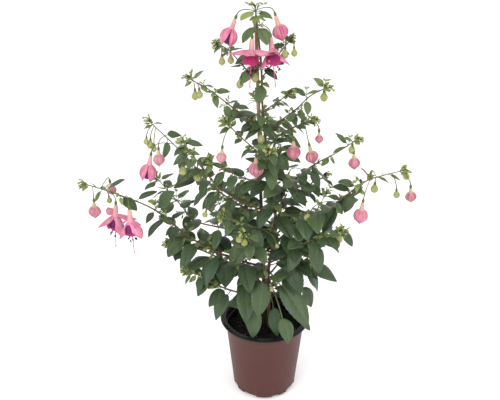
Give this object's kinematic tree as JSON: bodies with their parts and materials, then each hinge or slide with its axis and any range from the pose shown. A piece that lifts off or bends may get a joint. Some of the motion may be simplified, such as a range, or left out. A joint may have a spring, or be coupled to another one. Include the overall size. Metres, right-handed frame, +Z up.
{
  "type": "potted standing fuchsia",
  "caption": "Fuchsia trained as an open pyramid on a bamboo cane in a brown nursery pot, with hanging pink and purple flowers and buds; 0.74 m tall, 0.55 m wide.",
  "frame": {"origin": "centre of the underside of the pot's foot, on the surface it stands on", "axes": "+Z up along the pot, -Y towards the side that faces the viewer in the picture, +X to the viewer's right"},
  "size_m": [0.5526, 0.2946, 0.7413],
  "materials": {
    "pot_plastic": "satin",
    "soil": "matte",
    "bamboo": "satin",
    "tie_plastic": "satin",
    "stem_bark": "satin",
    "foliage": "satin",
    "sepal": "satin",
    "petal": "satin",
    "stamen": "satin",
    "bud": "satin"
  },
  "bodies": {
    "root": {"pot": "pot_plastic", "potting_soil": "soil", "bamboo_cane": "bamboo", "tie_upper": "tie_plastic", "tie_lower": "tie_plastic", "main_stem": "stem_bark", "shoot_top_left": "foliage", "shoot_top_right": "foliage", "left_top": "foliage", "left_upper": "foliage", "left_mid": "foliage", "left_long": "foliage", "left_rear": "foliage", "left_inner": "foliage", "left_low": "foliage", "left_side": "foliage", "left_crown": "foliage", "right_high": "foliage", "right_crown": "foliage", "right_top": "foliage", "right_upper": "foliage", "right_long": "foliage", "right_inner": "foliage", "right_mid": "foliage", "right_low": "foliage", "front_low": "foliage", "front_mid": "foliage", "front_upper": "foliage", "rear_low_left": "foliage", "rear_low_right": "foliage", "rear_mid": "foliage", "rear_upper": "foliage", "flower_top_front_calyx": "sepal", "flower_top_front_corolla": "petal", "flower_top_front_stamens": "stamen", "flower_top_right_calyx": "sepal", "flower_top_right_corolla": "petal", "flower_top_right_stamens": "stamen", "flower_left_outer_calyx": "sepal", "flower_left_outer_corolla": "petal", "flower_left_outer_stamens": "stamen", "flower_left_inner_calyx": "sepal", "flower_left_inner_corolla": "petal", "flower_left_inner_stamens": "stamen", "flower_top_left_calyx": "sepal", "flower_top_left_corolla": "petal", "flower_left_mid_calyx": "sepal", "flower_left_mid_corolla": "petal", "bud_top_right": "bud", "bud_left_upper": "bud", "bud_left_end": "bud", "bud_left_rear": "bud", "bud_inner_left": "bud", "bud_middle": "bud", "bud_right_inner": "bud", "bud_right_upper": "bud", "bud_right_top": "bud", "bud_right_side": "bud", "bud_right_low": "bud", "bud_right_end": "bud"}
  },
  "joints": []
}
